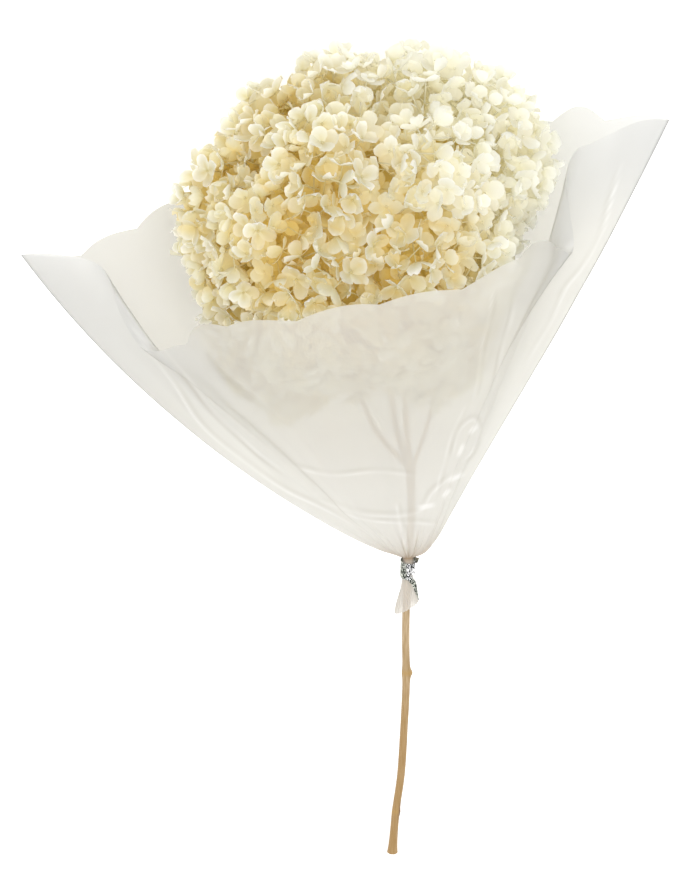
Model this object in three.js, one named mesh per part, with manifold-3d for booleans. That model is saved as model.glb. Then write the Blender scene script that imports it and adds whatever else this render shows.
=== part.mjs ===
// A preserved hydrangea stem in its film sleeve, tied at the neck and lying on a table.
// Millimetres. +X is to the right, +Y runs from the cut end to the flower, and +Z is up.
// The table is z = 0. The sleeve's back lies on it under the flower, and so does the cut end.

import * as THREE from 'three';
import { mergeVertices } from 'three/addons/utils/BufferGeometryUtils.js';
import Module from 'manifold-3d';

const wasm = await Module();
wasm.setup();

// Stem: the bends of its centre line across and along, and how fast it climbs to the flower
const stemBends = [
  [25.6, -252.4], [27.7, -225.8], [30.7, -202.6], [32.6, -170.9], [33.9, -139.9],
  [33.5, -115], [33.7, -95], [34.8, -65.6], [35.3, -29], [34.1, -8], [33.4, 4.2],
];
const stemClimb = 0.2316;
const stemRadius = 2.3;
const cutEndRadius = 3.2;
const forkRadius = 2.9;
const stemSides = 10;
const stemSteps = 36;
const cutBevel = 0.9;

// The nodes of the stem, each by its place, its swell and the radius of its bud scar
const stemNodes = [[-226, 0.12, 0.8], [-135.5, 0.45, 1.5]];
const nodeLength = 4.5;

// Rays: the branches above the fork, each by where it ends inside the flower
const rayEnds = [[20, 70, 80], [2, 78, 82], [48, 80, 88], [28, 82, 112], [26, 86, 56]];
const rayRadius = 1.5;
const rayTipRadius = 1.1;
const raySides = 6;
const raySteps = 5;
const rayStart = 0.985;
const rayKnee = 0.45;
const raySpread = 0.12;
const rayDip = 3;
const pieceGap = 0.35;

// Flower: its centre, and the rounded groups of florets round it as centre and radius
const flowerCentre = new THREE.Vector3(9, 143.5, 91);
const cymes = [
  [-71, 1, 0, 42], [-79, 27, 6, 35], [-46, 58, 0, 40], [-13, 77, 0, 40], [36, 77, 0, 41],
  [64, 66, 2, 40], [76, 46, 0, 39], [61, 18, 0, 38], [40, -18, 0, 42], [30, -61, 0, 40],
  [-12, -70, 0, 41], [-37, -64, 0, 43], [-60, -31, 0, 42],
  [-50, 5, 42, 45], [-18, 45, 45, 45], [35, 42, 44, 46], [48, 5, 40, 42], [16, -32, 45, 44],
  [-30, -36, 44, 44], [-32, 0, 51, 43], [26, 8, 52, 43],
  [-50, 5, -38, 44], [-15, 40, -42, 43], [35, 35, -42, 44], [46, 5, -38, 42], [15, -34, -42, 43],
  [-30, -36, -40, 43], [0, 5, -46, 43],
];
const coreShare = 0.86;
const coreDetail = 3;

// Florets: larger than life, so that fewer of them still cover the flower
const floretCount = 160;
const floretRadius = [14.5, 17.5];
const floretThickness = 0.8;
const sepalSpread = 0.16;
const notchShare = 0.42;
const shoulderShare = 0.92;
const shoulderTurn = 0.4;
const sepalLift = [0.02, 0.22];
const upperSepalLift = 0.08;
const floretStandsOut = 6;
const floretTilt = 0.5;
const pedicelRadius = 1.5;
const collarDepth = 2;
const pedicelRoot = 0.7;
const stalkOpening = 0.93;
const flowerFloor = 1.4;

// Sleeve: its film, its rims from the left corner to the right one, and its scallops
const filmThickness = 0.8;
const filmOverFlower = 9.2;
const frontRim = [
  [-199, 134, 82], [-174, 131, 82], [-152, 127, 80], [-141, 112, 84], [-135, 92, 82],
  [-126, 77, 82], [-112, 75, 92], [-100, 86, 116], [-86, 102, 146], [-42, 113, 184], [5, 125, 195],
  [52, 138, 184], [84, 154, 152], [98, 158, 116], [113, 150, 97], [130, 132, 80], [132, 156, 82],
  [127, 175, 83], [129, 187, 81], [137, 198, 78], [157, 205, 78], [174, 212, 81], [192, 217, 84],
];
const backRim = [
  [-199, 134, 82], [-176, 127, 66], [-148, 132, 42], [-118, 144, 18], [-80, 158, 3],
  [0, 178, 0], [75, 190, 2], [112, 200, 20], [136, 213, 44], [160, 212, 66], [192, 217, 84],
];
const frontScallops = 12;
const backScallops = 10;
const scallopDepth = 5;
const scallopMiddle = 0.65;
const seamBows = [[-12, -15, 0], [5, -3, 0]];
const bowWidth = 0.12;
const filmRows = [0.22, 0.36, 0.5, 0.62, 0.73, 0.83, 0.92, 1];
const neckRows = [0, 0.025, 0.06, 0.12];
const neckSpread = [6.5, 11.5];
const neckSpreadStart = [0.09, 0.04];
const neckSpreadFade = [0.3, 0.14];
const bulgeSteps = 24;
const furthestBulge = 150;
const foldColumns = 6;
const foldFade = 3;
const sharpestMitre = 2.5;

// Neck and tail: the gathered film under the tie, and its pleats below. Every other column of
// film is the fold of a pleat.
const tiePlace = -67;
const neckHalf = 7.5;
const neckRadius = 3.3;
const tailLength = [23, 15];
const tailRadius = 6.6;
const tailFlatness = 0.8;
const tailRows = [1, 0.7, 0.4, 0];
const pleatDepth = 0.55;

// Tie: a foil strip wound round the neck, with a short end above and a longer one below
const tieWidth = 3.4;
const tieThickness = 0.5;
const tieRadius = 4.4;
const tieTurns = 2.8;
const tiePitch = 3.65;
const tieSteps = 14;
const tieUpperEnd = [[5, 5.5, 1.7], [6, 6.4, 3.6]];
const tieLowerEnd = [[3.6, -7.8, 5], [5.2, -12.4, 6.2], [7, -18.4, 6.4]];

function seededRandom(seed) {
  let state = seed;
  return () => {
    state = (state * 1664525 + 1013904223) % 4294967296;
    return state / 4294967296;
  };
}

function vector(x, y, z) {
  return new THREE.Vector3(x, y, z);
}

function geometryFrom(points, triangles) {
  const geometry = new THREE.BufferGeometry();
  const coordinates = points.flatMap((point) => [point.x, point.y, point.z]);
  geometry.setAttribute('position', new THREE.Float32BufferAttribute(coordinates, 3));
  geometry.setIndex(triangles);
  return geometry;
}

function solidFrom(geometry) {
  geometry.deleteAttribute('normal');
  geometry.deleteAttribute('uv');
  const merged = mergeVertices(geometry, 1e-4);
  return new wasm.Manifold(new wasm.Mesh({
    numProp: 3,
    vertProperties: new Float32Array(merged.attributes.position.array),
    triVerts: new Uint32Array(merged.index.array),
  }));
}

function joined(solids) {
  let layer = solids;
  while (layer.length > 1) {
    const next = [];
    for (let i = 0; i < layer.length; i += 2) {
      next.push(i + 1 < layer.length ? layer[i].add(layer[i + 1]) : layer[i]);
    }
    layer = next;
  }
  return layer[0];
}

// Fusing can seal a hollow or leave a loose scrap, so only the shell round the most volume is kept.
function outerShell(solid) {
  const mesh = solid.getMesh();
  const corners = mesh.triVerts;
  const owner = Array.from({ length: mesh.vertProperties.length / mesh.numProp }, (_, i) => i);
  const find = (i) => {
    while (owner[i] !== i) {
      owner[i] = owner[owner[i]];
      i = owner[i];
    }
    return i;
  };
  for (let t = 0; t < corners.length; t += 3) {
    owner[find(corners[t + 1])] = find(corners[t]);
    owner[find(corners[t + 2])] = find(corners[t]);
  }
  const at = (i) => vector(...mesh.vertProperties.slice(i * mesh.numProp, i * mesh.numProp + 3));
  const volumes = new Map();
  for (let t = 0; t < corners.length; t += 3) {
    const shell = find(corners[t]);
    const share = at(corners[t]).dot(at(corners[t + 1]).cross(at(corners[t + 2])));
    volumes.set(shell, (volumes.get(shell) ?? 0) + share);
  }
  const largest = [...volumes].sort((a, b) => b[1] - a[1])[0][0];
  const kept = [];
  for (let t = 0; t < corners.length; t += 3) {
    if (find(corners[t]) === largest) {
      kept.push(corners[t], corners[t + 1], corners[t + 2]);
    }
  }
  const numbers = new Map();
  const points = [];
  const triangles = kept.map((corner) => {
    if (!numbers.has(corner)) {
      numbers.set(corner, points.length);
      points.push(at(corner));
    }
    return numbers.get(corner);
  });
  return geometryFrom(points, triangles);
}

// A closed solid through rings of equal size, with a flat fan at each end
function loft(rings) {
  const sides = rings[0].length;
  const points = rings.flat();
  const triangles = [];
  for (let r = 0; r + 1 < rings.length; r += 1) {
    for (let s = 0; s < sides; s += 1) {
      const a = r * sides + s;
      const b = r * sides + (s + 1) % sides;
      triangles.push(a, b, b + sides, a, b + sides, a + sides);
    }
  }
  const last = (rings.length - 1) * sides;
  for (let s = 1; s + 1 < sides; s += 1) {
    triangles.push(0, s + 1, s, last, last + s, last + s + 1);
  }
  return geometryFrom(points, triangles);
}

function roundRing(centre, across, up, radius, sides) {
  return Array.from({ length: sides }, (_, s) => {
    const angle = (s + 0.5) / sides * 2 * Math.PI;
    return centre.clone()
      .addScaledVector(across, radius * Math.cos(angle))
      .addScaledVector(up, radius * Math.sin(angle));
  });
}

// Stem

function stemHeight(y) {
  return cutEndRadius + stemClimb * (y - stemBends[0][1]);
}

const stemLine = new THREE.CatmullRomCurve3(stemBends.map(([x, y]) => vector(x, y, stemHeight(y))));

function stemRadiusAt(y) {
  const fromCut = y - stemBends[0][1];
  const flare = (cutEndRadius - stemRadius) * Math.exp(-fromCut / 5);
  const fork = (forkRadius - stemRadius) * Math.exp((y - stemBends.at(-1)[1]) / 9);
  const nodes = stemNodes.map(([place, swell]) => swell * Math.exp(-(((y - place) / nodeLength) ** 2)));
  return stemRadius + flare + fork + nodes.reduce((sum, swell) => sum + swell, 0);
}

// Where a ring stands on a line, and the two directions across it
function frameOn(curve, share) {
  const centre = curve.getPointAt(share);
  const ahead = curve.getTangentAt(share);
  const across = vector(1, 0, 0).addScaledVector(ahead, -ahead.x).normalize();
  return { centre, ahead, across, up: across.clone().cross(ahead) };
}

function stemSolid() {
  const rings = [];
  for (let i = 0; i <= stemSteps; i += 1) {
    const place = frameOn(stemLine, i / stemSteps);
    rings.push(roundRing(place.centre, place.across, place.up, stemRadiusAt(place.centre.y), stemSides));
  }
  const start = frameOn(stemLine, 0);
  const bevel = start.centre.clone().addScaledVector(start.ahead, -cutBevel);
  rings.unshift(roundRing(bevel, start.across, start.up, cutEndRadius - cutBevel, stemSides));
  rings.forEach((ring) => ring.reverse());
  return solidFrom(loft(rings));
}

function rayLine(end) {
  const start = stemLine.getPointAt(rayStart);
  const stop = vector(...end);
  const knee = start.clone().lerp(stop, rayKnee).add(vector((stop.x - start.x) * raySpread, -rayDip, 0));
  return new THREE.CatmullRomCurve3([start, knee, stop]);
}

// A ray, or with some extra size the hole that it runs in
function raySolid(end, extra) {
  const line = rayLine(end);
  const rings = [];
  for (let i = 0; i <= raySteps; i += 1) {
    const place = frameOn(line, i / raySteps);
    const radius = THREE.MathUtils.lerp(rayRadius, rayTipRadius, i / raySteps) + extra;
    const beyond = i === raySteps ? extra : 0;
    const centre = place.centre.addScaledVector(place.ahead, beyond);
    rings.push(roundRing(centre, place.across, place.up, radius, raySides));
  }
  rings.forEach((ring) => ring.reverse());
  return solidFrom(loft(rings));
}

// A bud scar sits on the right of each node
function budSolid([place, swell, radius]) {
  const bud = new THREE.IcosahedronGeometry(radius, 0);
  bud.scale(0.8, 1.5, 0.9);
  const share = (place - stemBends[0][1]) / (stemBends.at(-1)[1] - stemBends[0][1]);
  const centre = stemLine.getPointAt(share);
  bud.translate(centre.x + stemRadius + swell * 0.5, centre.y, centre.z);
  return solidFrom(bud);
}

function stemGeometry() {
  const rays = rayEnds.map((end) => raySolid(end, 0));
  return outerShell(joined([stemSolid(), ...rays, ...stemNodes.map(budSolid)]));
}

// Flower

// How far the rounded groups reach from the flower's centre in one direction
function reach(direction) {
  let furthest = 0;
  for (const [x, y, z, radius] of cymes) {
    const along = direction.x * x + direction.y * y + direction.z * z;
    const beside = x * x + y * y + z * z - along * along;
    if (beside < radius * radius) {
      furthest = Math.max(furthest, along + Math.sqrt(radius * radius - beside));
    }
  }
  return furthest;
}

// The outward direction of the group that reaches furthest there
function outwardAt(direction) {
  const point = direction.clone().multiplyScalar(reach(direction));
  let nearest = null;
  for (const [x, y, z, radius] of cymes) {
    const arm = point.clone().sub(vector(x, y, z));
    const miss = Math.abs(arm.length() - radius);
    if (nearest === null || miss < nearest.miss) {
      nearest = { miss, arm };
    }
  }
  return nearest.arm.normalize().add(direction).normalize();
}

function coreSolid() {
  const core = new THREE.IcosahedronGeometry(1, coreDetail);
  const places = core.attributes.position;
  for (let i = 0; i < places.count; i += 1) {
    const direction = vector(places.getX(i), places.getY(i), places.getZ(i)).normalize();
    const point = direction.clone().multiplyScalar(coreShare * reach(direction)).add(flowerCentre);
    places.setXYZ(i, point.x, point.y, point.z);
  }
  return solidFrom(core);
}

// The rim of a floret: each of the four sepals has a notch, a shoulder, a tip and a shoulder
function floretRim(radius, random) {
  const rim = [];
  for (let sepal = 0; sepal < 4; sepal += 1) {
    const turn = sepal * Math.PI / 2;
    const size = radius * (1 + sepalSpread * (random() - 0.5));
    const lift = size * (THREE.MathUtils.lerp(...sepalLift, random()) + (sepal % 2) * upperSepalLift);
    rim.push([turn - Math.PI / 4, radius * notchShare, 0.2 * lift]);
    rim.push([turn - shoulderTurn, size * shoulderShare, 0.8 * lift]);
    rim.push([turn, size, lift]);
    rim.push([turn + shoulderTurn, size * shoulderShare, 0.8 * lift]);
  }
  return rim.map(([turn, out, rise]) => vector(out * Math.cos(turn), out * Math.sin(turn), rise));
}

// One floret about its own middle: a folded plate of four sepals on a three-sided pedicel
function floretShape(radius, length, random) {
  const rim = floretRim(radius, random);
  const below = vector(0, 0, -floretThickness);
  const under = rim.filter((_, i) => i % 2 === 0).map((point) => point.clone().add(below));
  const collar = [0, 1, 2].map((i) => {
    const angle = Math.PI / 4 + i * 2 * Math.PI / 3;
    return vector(pedicelRadius * Math.cos(angle), pedicelRadius * Math.sin(angle), -collarDepth);
  });
  const points = [...rim, ...under, ...collar, vector(0, 0, 0), vector(0, 0, -length)];
  const triangles = [];
  for (let i = 0; i < 16; i += 1) {
    triangles.push(27, i, (i + 1) % 16);
  }
  for (let i = 0; i < 8; i += 1) {
    const low = 16 + i;
    const lowNext = 16 + (i + 1) % 8;
    const shoulder = 2 * i + 1;
    triangles.push(2 * i, low, shoulder, shoulder, low, lowNext, shoulder, lowNext, (2 * i + 2) % 16);
  }
  const collarOf = [24, 24, 24, 25, 25, 26, 26, 26];
  for (let i = 0; i < 8; i += 1) {
    const low = 16 + i;
    const lowNext = 16 + (i + 1) % 8;
    triangles.push(lowNext, low, collarOf[i]);
    if (collarOf[(i + 1) % 8] !== collarOf[i]) {
      triangles.push(lowNext, collarOf[i], collarOf[(i + 1) % 8]);
    }
  }
  triangles.push(25, 24, 28, 26, 25, 28, 24, 26, 28);
  return { points, triangles };
}

// Moves a floret in until no corner stands out too far from the groups, and up off the sleeve
function settle(points, direction) {
  let excess = 0;
  for (const point of points) {
    const arm = point.clone().sub(flowerCentre);
    const distance = arm.length();
    excess = Math.max(excess, distance - reach(arm.normalize()) - floretStandsOut);
  }
  points.forEach((point) => point.addScaledVector(direction, -excess));
  const lowest = Math.min(...points.map((point) => point.z));
  points.forEach((point) => point.setZ(point.z + Math.max(0, flowerFloor - lowest)));
}

function floretSolid(index, random) {
  const height = 1 - 2 * (index + 0.5) / floretCount;
  const turn = index * Math.PI * (3 - Math.sqrt(5));
  const side = Math.sqrt(1 - height * height);
  const direction = vector(side * Math.cos(turn), height, side * Math.sin(turn));
  const far = reach(direction);
  const radius = THREE.MathUtils.lerp(...floretRadius, random());
  const { points, triangles } = floretShape(radius, far * (1 - pedicelRoot), random);
  const tilt = vector(random() - 0.5, random() - 0.5, random() - 0.5).multiplyScalar(2 * floretTilt);
  const facing = outwardAt(direction).add(tilt).normalize();
  const pose = new THREE.Quaternion().setFromUnitVectors(vector(0, 0, 1), facing);
  const spin = new THREE.Quaternion().setFromAxisAngle(vector(0, 0, 1), random() * Math.PI);
  const place = direction.clone().multiplyScalar(far).add(flowerCentre);
  points.forEach((point) => point.applyQuaternion(spin).applyQuaternion(pose).add(place));
  points.at(-1).copy(direction).multiplyScalar(far * pedicelRoot).add(flowerCentre);
  const head = points.slice(0, -1);
  settle(head, direction);
  if (direction.y < -stalkOpening) {
    return null;
  }
  return solidFrom(geometryFrom(points, triangles));
}

function flowerGeometry() {
  const random = seededRandom(7);
  const florets = [];
  for (let i = 0; i < floretCount; i += 1) {
    const floret = floretSolid(i, random);
    if (floret) {
      florets.push(floret);
    }
  }
  const holes = joined(rayEnds.map((end) => raySolid(end, pieceGap + 0.1)));
  return outerShell(joined([coreSolid(), ...florets]).subtract(holes));
}

// Sleeve

const frontLine = new THREE.CatmullRomCurve3(frontRim.map((point) => vector(...point)), false, 'centripetal');
const backLine = new THREE.CatmullRomCurve3(backRim.map((point) => vector(...point)), false, 'centripetal');
const columns = 4 * (frontScallops + backScallops);
const seamColumn = 4 * frontScallops;
const tieShare = (tiePlace - stemBends[0][1]) / (stemBends.at(-1)[1] - stemBends[0][1]);
const neck = frameOn(stemLine, tieShare);

// Which rim a column ends on, and how far along it from the left corner
function rimShare(column) {
  if (column <= seamColumn) {
    return { line: frontLine, share: column / seamColumn, scallops: frontScallops };
  }
  return { line: backLine, share: (columns - column) / (columns - seamColumn), scallops: backScallops };
}

function neckAngle(column) {
  const { line, share } = rimShare(column);
  return line === frontLine ? Math.PI * (1 - share) : -Math.PI * (1 - share);
}

function neckPoint(column, radius, below) {
  const angle = neckAngle(column);
  return neck.centre.clone()
    .addScaledVector(neck.ahead, -below)
    .addScaledVector(neck.across, radius * Math.cos(angle))
    .addScaledVector(neck.up, radius * Math.sin(angle));
}

function tailPoint(column, share) {
  const angle = neckAngle(column);
  const toRight = (1 + Math.cos(angle)) / 2;
  const length = THREE.MathUtils.lerp(...tailLength, toRight);
  const flare = share * share * (3 - 2 * share);
  const pleat = pleatDepth * flare * Math.cos(Math.PI * column / 2);
  const radius = neckRadius + (tailRadius - neckRadius) * flare + pleat;
  const point = neckPoint(column, radius, neckHalf + length * share);
  const flattened = (1 - tailFlatness) * flare * radius * Math.sin(angle);
  return point.addScaledVector(neck.up, -flattened);
}

// How far a point must move along a direction to lie clear of the flower
function clearance(point, direction) {
  for (let moved = 0; moved < furthestBulge; moved += 1) {
    const arm = point.clone().addScaledVector(direction, moved).sub(flowerCentre);
    const distance = arm.length();
    if (distance > reach(arm.normalize()) + filmOverFlower) {
      return moved;
    }
  }
  return furthestBulge;
}

// The run of film on one column: a straight line to the rim's middle course, and the folds and the
// scallop, which only grow near the rim
function filmRun(column) {
  const { line, share, scallops } = rimShare(column);
  const start = neckPoint(column, neckRadius, -neckHalf);
  const end = line.getPointAt(share);
  const window = Math.min(foldColumns / (4 * scallops), share, 1 - share);
  const course = [-1, -0.5, 0, 0.5, 1].reduce((sum, step) => {
    return sum.addScaledVector(line.getPointAt(share + step * window), 0.2);
  }, vector(0, 0, 0));
  const run = course.clone().sub(start);
  const scallop = Math.abs(Math.sin(Math.PI * scallops * share)) - scallopMiddle;
  const fold = end.sub(course).addScaledVector(run.clone().normalize(), scallopDepth * scallop);
  const bow = vector(...seamBows[0]).multiplyScalar(4 * Math.exp(-((share / bowWidth) ** 2)))
    .addScaledVector(vector(...seamBows[1]), 4 * Math.exp(-(((1 - share) / bowWidth) ** 2)));
  return { start, run, fold, bow };
}

// Film is pulled taut over the flower: the run's bulge is the upper hull of what clears it.
function tautBulge(heights) {
  const hull = [];
  heights.forEach((height, i) => {
    while (hull.length > 1) {
      const [a, b] = hull.slice(-2);
      if ((b.height - a.height) * (i - a.i) > (height - a.height) * (b.i - a.i)) {
        break;
      }
      hull.pop();
    }
    hull.push({ i, height });
  });
  return (share) => {
    const place = share * (heights.length - 1);
    const k = Math.max(1, hull.findIndex((corner) => corner.i >= place));
    const [a, b] = [hull[k - 1], hull[k]];
    return a.height + (b.height - a.height) * (place - a.i) / (b.i - a.i);
  };
}

// Above the tie the film spreads at once, more on the right than on the left
function spreadAt(share, toRight) {
  const begin = THREE.MathUtils.lerp(...neckSpreadStart, toRight);
  const fade = THREE.MathUtils.lerp(...neckSpreadFade, toRight);
  return THREE.MathUtils.lerp(...neckSpread, toRight)
    * (1 - Math.exp(-share / begin)) * Math.exp(-share / fade);
}

function filmColumn(column, shares) {
  const { start, run, fold, bow } = filmRun(column);
  const angle = neckAngle(column);
  const outward = neck.across.clone().multiplyScalar(Math.cos(angle))
    .addScaledVector(neck.up, Math.sin(angle));
  outward.addScaledVector(run, -outward.dot(run) / run.lengthSq()).normalize();
  const along = (share) => start.clone()
    .addScaledVector(run, share)
    .addScaledVector(fold, share ** foldFade)
    .addScaledVector(bow, share * (1 - share));
  const heights = Array.from({ length: bulgeSteps + 1 }, (_, i) => {
    return clearance(along(i / bulgeSteps), outward);
  });
  const bulge = tautBulge(heights);
  return shares.map((share) => {
    const spread = spreadAt(share, (1 + Math.cos(angle)) / 2);
    const point = along(share).addScaledVector(outward, bulge(share) + spread);
    return point.setZ(Math.max(point.z, filmThickness / 2));
  });
}

// The film's middle surface in rows from the tail to the rim, the first ones with half the columns
function filmGrid() {
  const full = Array.from({ length: columns }, (_, i) => i);
  const half = full.filter((column) => column % 2 === 0);
  const shares = [...neckRows, ...filmRows];
  const film = full.map((column) => filmColumn(column, shares));
  return [
    ...tailRows.map((share) => half.map((column) => tailPoint(column, share))),
    ...neckRows.map((_, r) => half.map((column) => film[column][r])),
    ...filmRows.map((_, r) => full.map((column) => film[column][neckRows.length + r])),
  ];
}

// Half the film's thickness outwards at one point, lengthened where the film turns a corner
function filmOffset(rows, r, c) {
  const row = rows[r];
  const scale = (other) => other.length / row.length;
  const before = rows[Math.max(0, r - 1)];
  const after = rows[Math.min(rows.length - 1, r + 1)];
  const behind = before[Math.round(c * scale(before)) % before.length];
  const ahead = after[Math.round(c * scale(after)) % after.length];
  const along = ahead.clone().sub(behind);
  const left = row[c].clone().sub(row[(c + row.length - 1) % row.length]).cross(along).normalize();
  const right = row[(c + 1) % row.length].clone().sub(row[c]).cross(along).normalize();
  const turn = Math.max(0.02, 1 + left.dot(right));
  return left.add(right).multiplyScalar(filmThickness / 2 / turn).clampLength(0, sharpestMitre);
}

function bandTriangles(low, high, lowStart, highStart) {
  const triangles = [];
  for (let c = 0; c < low; c += 1) {
    const a = lowStart + c;
    const b = lowStart + (c + 1) % low;
    if (low === high) {
      const d = highStart + c;
      const e = highStart + (c + 1) % high;
      triangles.push(a, b, e, a, e, d);
    } else {
      const d = highStart + 2 * c;
      const e = highStart + (2 * c + 2) % high;
      triangles.push(a, d + 1, d, a, b, d + 1, b, e, d + 1);
    }
  }
  return triangles;
}

function sleeveGeometry() {
  const rows = filmGrid();
  const offsets = rows.map((row, r) => row.map((_, c) => filmOffset(rows, r, c)));
  const outside = rows.map((row, r) => row.map((point, c) => point.clone().add(offsets[r][c])));
  const inside = rows.map((row, r) => row.map((point, c) => point.clone().sub(offsets[r][c])));
  outside.flat().forEach((point) => point.setZ(Math.max(0, point.z)));
  const starts = rows.map((_, r) => rows.slice(0, r).reduce((sum, row) => sum + row.length, 0));
  const total = rows.reduce((sum, row) => sum + row.length, 0);
  const triangles = [];
  for (let r = 0; r + 1 < rows.length; r += 1) {
    const band = bandTriangles(rows[r].length, rows[r + 1].length, starts[r], starts[r + 1]);
    for (let t = 0; t < band.length; t += 3) {
      triangles.push(band[t], band[t + 1], band[t + 2]);
      triangles.push(total + band[t], total + band[t + 2], total + band[t + 1]);
    }
  }
  const edge = (start, count, flip) => {
    for (let c = 0; c < count; c += 1) {
      const a = start + c;
      const b = start + (c + 1) % count;
      const wall = [a, total + a, total + b, a, total + b, b];
      triangles.push(...(flip ? wall.reverse() : wall));
    }
  };
  edge(0, rows[0].length, false);
  edge(starts.at(-1), rows.at(-1).length, true);
  return geometryFrom([...outside.flat(), ...inside.flat()], triangles);
}

// Tie

// A place near the neck, by how far it is to the right, along the stem and up from the stem's axis
function nearNeck(right, along, up) {
  return neck.centre.clone()
    .addScaledVector(neck.across, right)
    .addScaledVector(neck.ahead, along)
    .addScaledVector(neck.up, up);
}

function tiePath() {
  const path = [];
  const steps = Math.round(tieTurns * tieSteps);
  for (let i = 0; i <= steps; i += 1) {
    const turns = i / tieSteps;
    const angle = -2 * Math.PI * turns;
    const along = tiePitch * (tieTurns / 2 - turns);
    path.push(nearNeck(tieRadius * Math.cos(angle), along, tieRadius * Math.sin(angle)));
  }
  const upper = tieUpperEnd.map((place) => nearNeck(...place)).reverse();
  const lower = tieLowerEnd.map((place) => nearNeck(...place));
  return [...upper, ...path, ...lower];
}

function tieGeometry() {
  const path = tiePath();
  const rings = path.map((point, i) => {
    const ahead = path[Math.min(i + 1, path.length - 1)].clone().sub(path[Math.max(i - 1, 0)]).normalize();
    const fromAxis = point.clone().sub(neck.centre);
    fromAxis.addScaledVector(neck.ahead, -fromAxis.dot(neck.ahead));
    const outward = fromAxis.addScaledVector(ahead, -fromAxis.dot(ahead)).normalize();
    const wide = ahead.clone().cross(outward).multiplyScalar(tieWidth / 2);
    const thick = outward.multiplyScalar(tieThickness / 2);
    return [[-1, -1], [1, -1], [1, 1], [-1, 1]].map(([w, t]) => {
      return point.clone().addScaledVector(wide, w).addScaledVector(thick, t);
    });
  });
  return loft(rings.map((ring) => ring.reverse()));
}

// The whole object

function piece(name, geometry, color, roughness, metalness) {
  const faceted = geometry.toNonIndexed();
  faceted.computeVertexNormals();
  const mesh = new THREE.Mesh(faceted, new THREE.MeshStandardMaterial({ color, roughness, metalness }));
  mesh.name = name;
  return mesh;
}

const object = new THREE.Group();
object.add(piece('stem', stemGeometry(), 0xb99a5c, 0.75, 0));
object.add(piece('flower_head', flowerGeometry(), 0xf1e6c6, 0.8, 0));
object.add(piece('sleeve', sleeveGeometry(), 0xe9e7df, 0.35, 0));
object.add(piece('twist_tie', tieGeometry(), 0xb9bcc0, 0.25, 0.9));

// The origin is on the table, below the middle of the object's outline
const outline = new THREE.Box3().setFromObject(object);
const middle = outline.getCenter(vector(0, 0, 0));
object.position.set(-middle.x, -middle.y, 0);

export default object;
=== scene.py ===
# A preserved hydrangea stem in its frosted film sleeve, lying down, seen from above
import math
import random

import bpy
import numpy as np
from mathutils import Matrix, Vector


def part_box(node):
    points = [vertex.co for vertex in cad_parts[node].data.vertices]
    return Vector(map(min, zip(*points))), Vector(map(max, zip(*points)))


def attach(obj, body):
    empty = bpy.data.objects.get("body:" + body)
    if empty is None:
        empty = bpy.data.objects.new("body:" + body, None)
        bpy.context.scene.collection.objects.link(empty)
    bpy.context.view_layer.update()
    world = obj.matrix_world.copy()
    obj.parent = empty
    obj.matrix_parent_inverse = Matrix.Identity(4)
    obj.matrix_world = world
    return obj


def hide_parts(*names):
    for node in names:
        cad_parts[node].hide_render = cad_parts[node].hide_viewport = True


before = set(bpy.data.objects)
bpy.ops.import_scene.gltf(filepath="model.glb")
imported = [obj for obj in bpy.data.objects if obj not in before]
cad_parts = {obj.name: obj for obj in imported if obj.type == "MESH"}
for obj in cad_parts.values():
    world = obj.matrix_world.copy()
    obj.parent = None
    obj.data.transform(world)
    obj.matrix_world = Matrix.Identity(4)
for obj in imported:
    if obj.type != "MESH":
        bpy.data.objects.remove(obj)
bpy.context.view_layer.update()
mm = 0.001  # the drawing below is in millimetres, the scene in metres


# Tools

def fromHex(code):
    parts = [int(code[i:i + 2], 16) / 255 for i in (1, 3, 5)]
    return (*(p / 12.92 if p <= 0.04045 else ((p + 0.055) / 1.055) ** 2.4 for p in parts), 1.0)


def addNode(tree, kind, inputs=None, **settings):
    node = tree.nodes.new(kind)
    for name, value in settings.items():
        setattr(node, name, value)
    for socket, value in (inputs or {}).items():
        if isinstance(value, bpy.types.NodeSocket):
            tree.links.new(value, node.inputs[socket])
        else:
            node.inputs[socket].default_value = value
    return node


def newMaterial(name):
    material = bpy.data.materials.new(name)
    material.use_nodes = True
    material.node_tree.nodes.clear()
    return material, material.node_tree


def mixColours(tree, share, first, second):
    return addNode(tree, "ShaderNodeMix", {0: share, 6: first, 7: second}, data_type="RGBA").outputs[2]


def readNumbers(tree, name):
    return addNode(tree, "ShaderNodeAttribute", attribute_name=name).outputs["Fac"]


def addRamp(tree, value, stops):
    ramp = addNode(tree, "ShaderNodeValToRGB", {"Fac": value})
    while len(ramp.color_ramp.elements) < len(stops):
        ramp.color_ramp.elements.new(0.5)
    for element, (place, colour) in zip(ramp.color_ramp.elements, stops):
        element.position = place
        element.color = fromHex(colour)
    return ramp.outputs[0]


def addMarks(tree, tint, marks):
    # paints each mark that a piece stores over its tint, up to the strength given
    for name, colour, most in marks:
        amount = addNode(tree, "ShaderNodeMath", {0: readNumbers(tree, name), 1: most}, operation="MULTIPLY")
        tint = mixColours(tree, amount.outputs[0], tint, fromHex(colour))
    return tint


def letThrough(tree, surface, colour, share):
    # this share of the lamps' light passes through the surface, in this colour
    clear = addNode(tree, "ShaderNodeBsdfTransparent", {"Color": fromHex(colour)})
    path = addNode(tree, "ShaderNodeLightPath")
    passed = addNode(tree, "ShaderNodeMath", {
        0: path.outputs["Is Shadow Ray"], 1: share}, operation="MULTIPLY")
    both = addNode(tree, "ShaderNodeMixShader", {0: passed.outputs[0], 1: surface, 2: clear.outputs[0]})
    addNode(tree, "ShaderNodeOutputMaterial", {"Surface": both.outputs[0]})


def unit(rows):
    return rows / np.maximum(np.linalg.norm(rows, axis=-1, keepdims=True), 1e-9)


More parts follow.
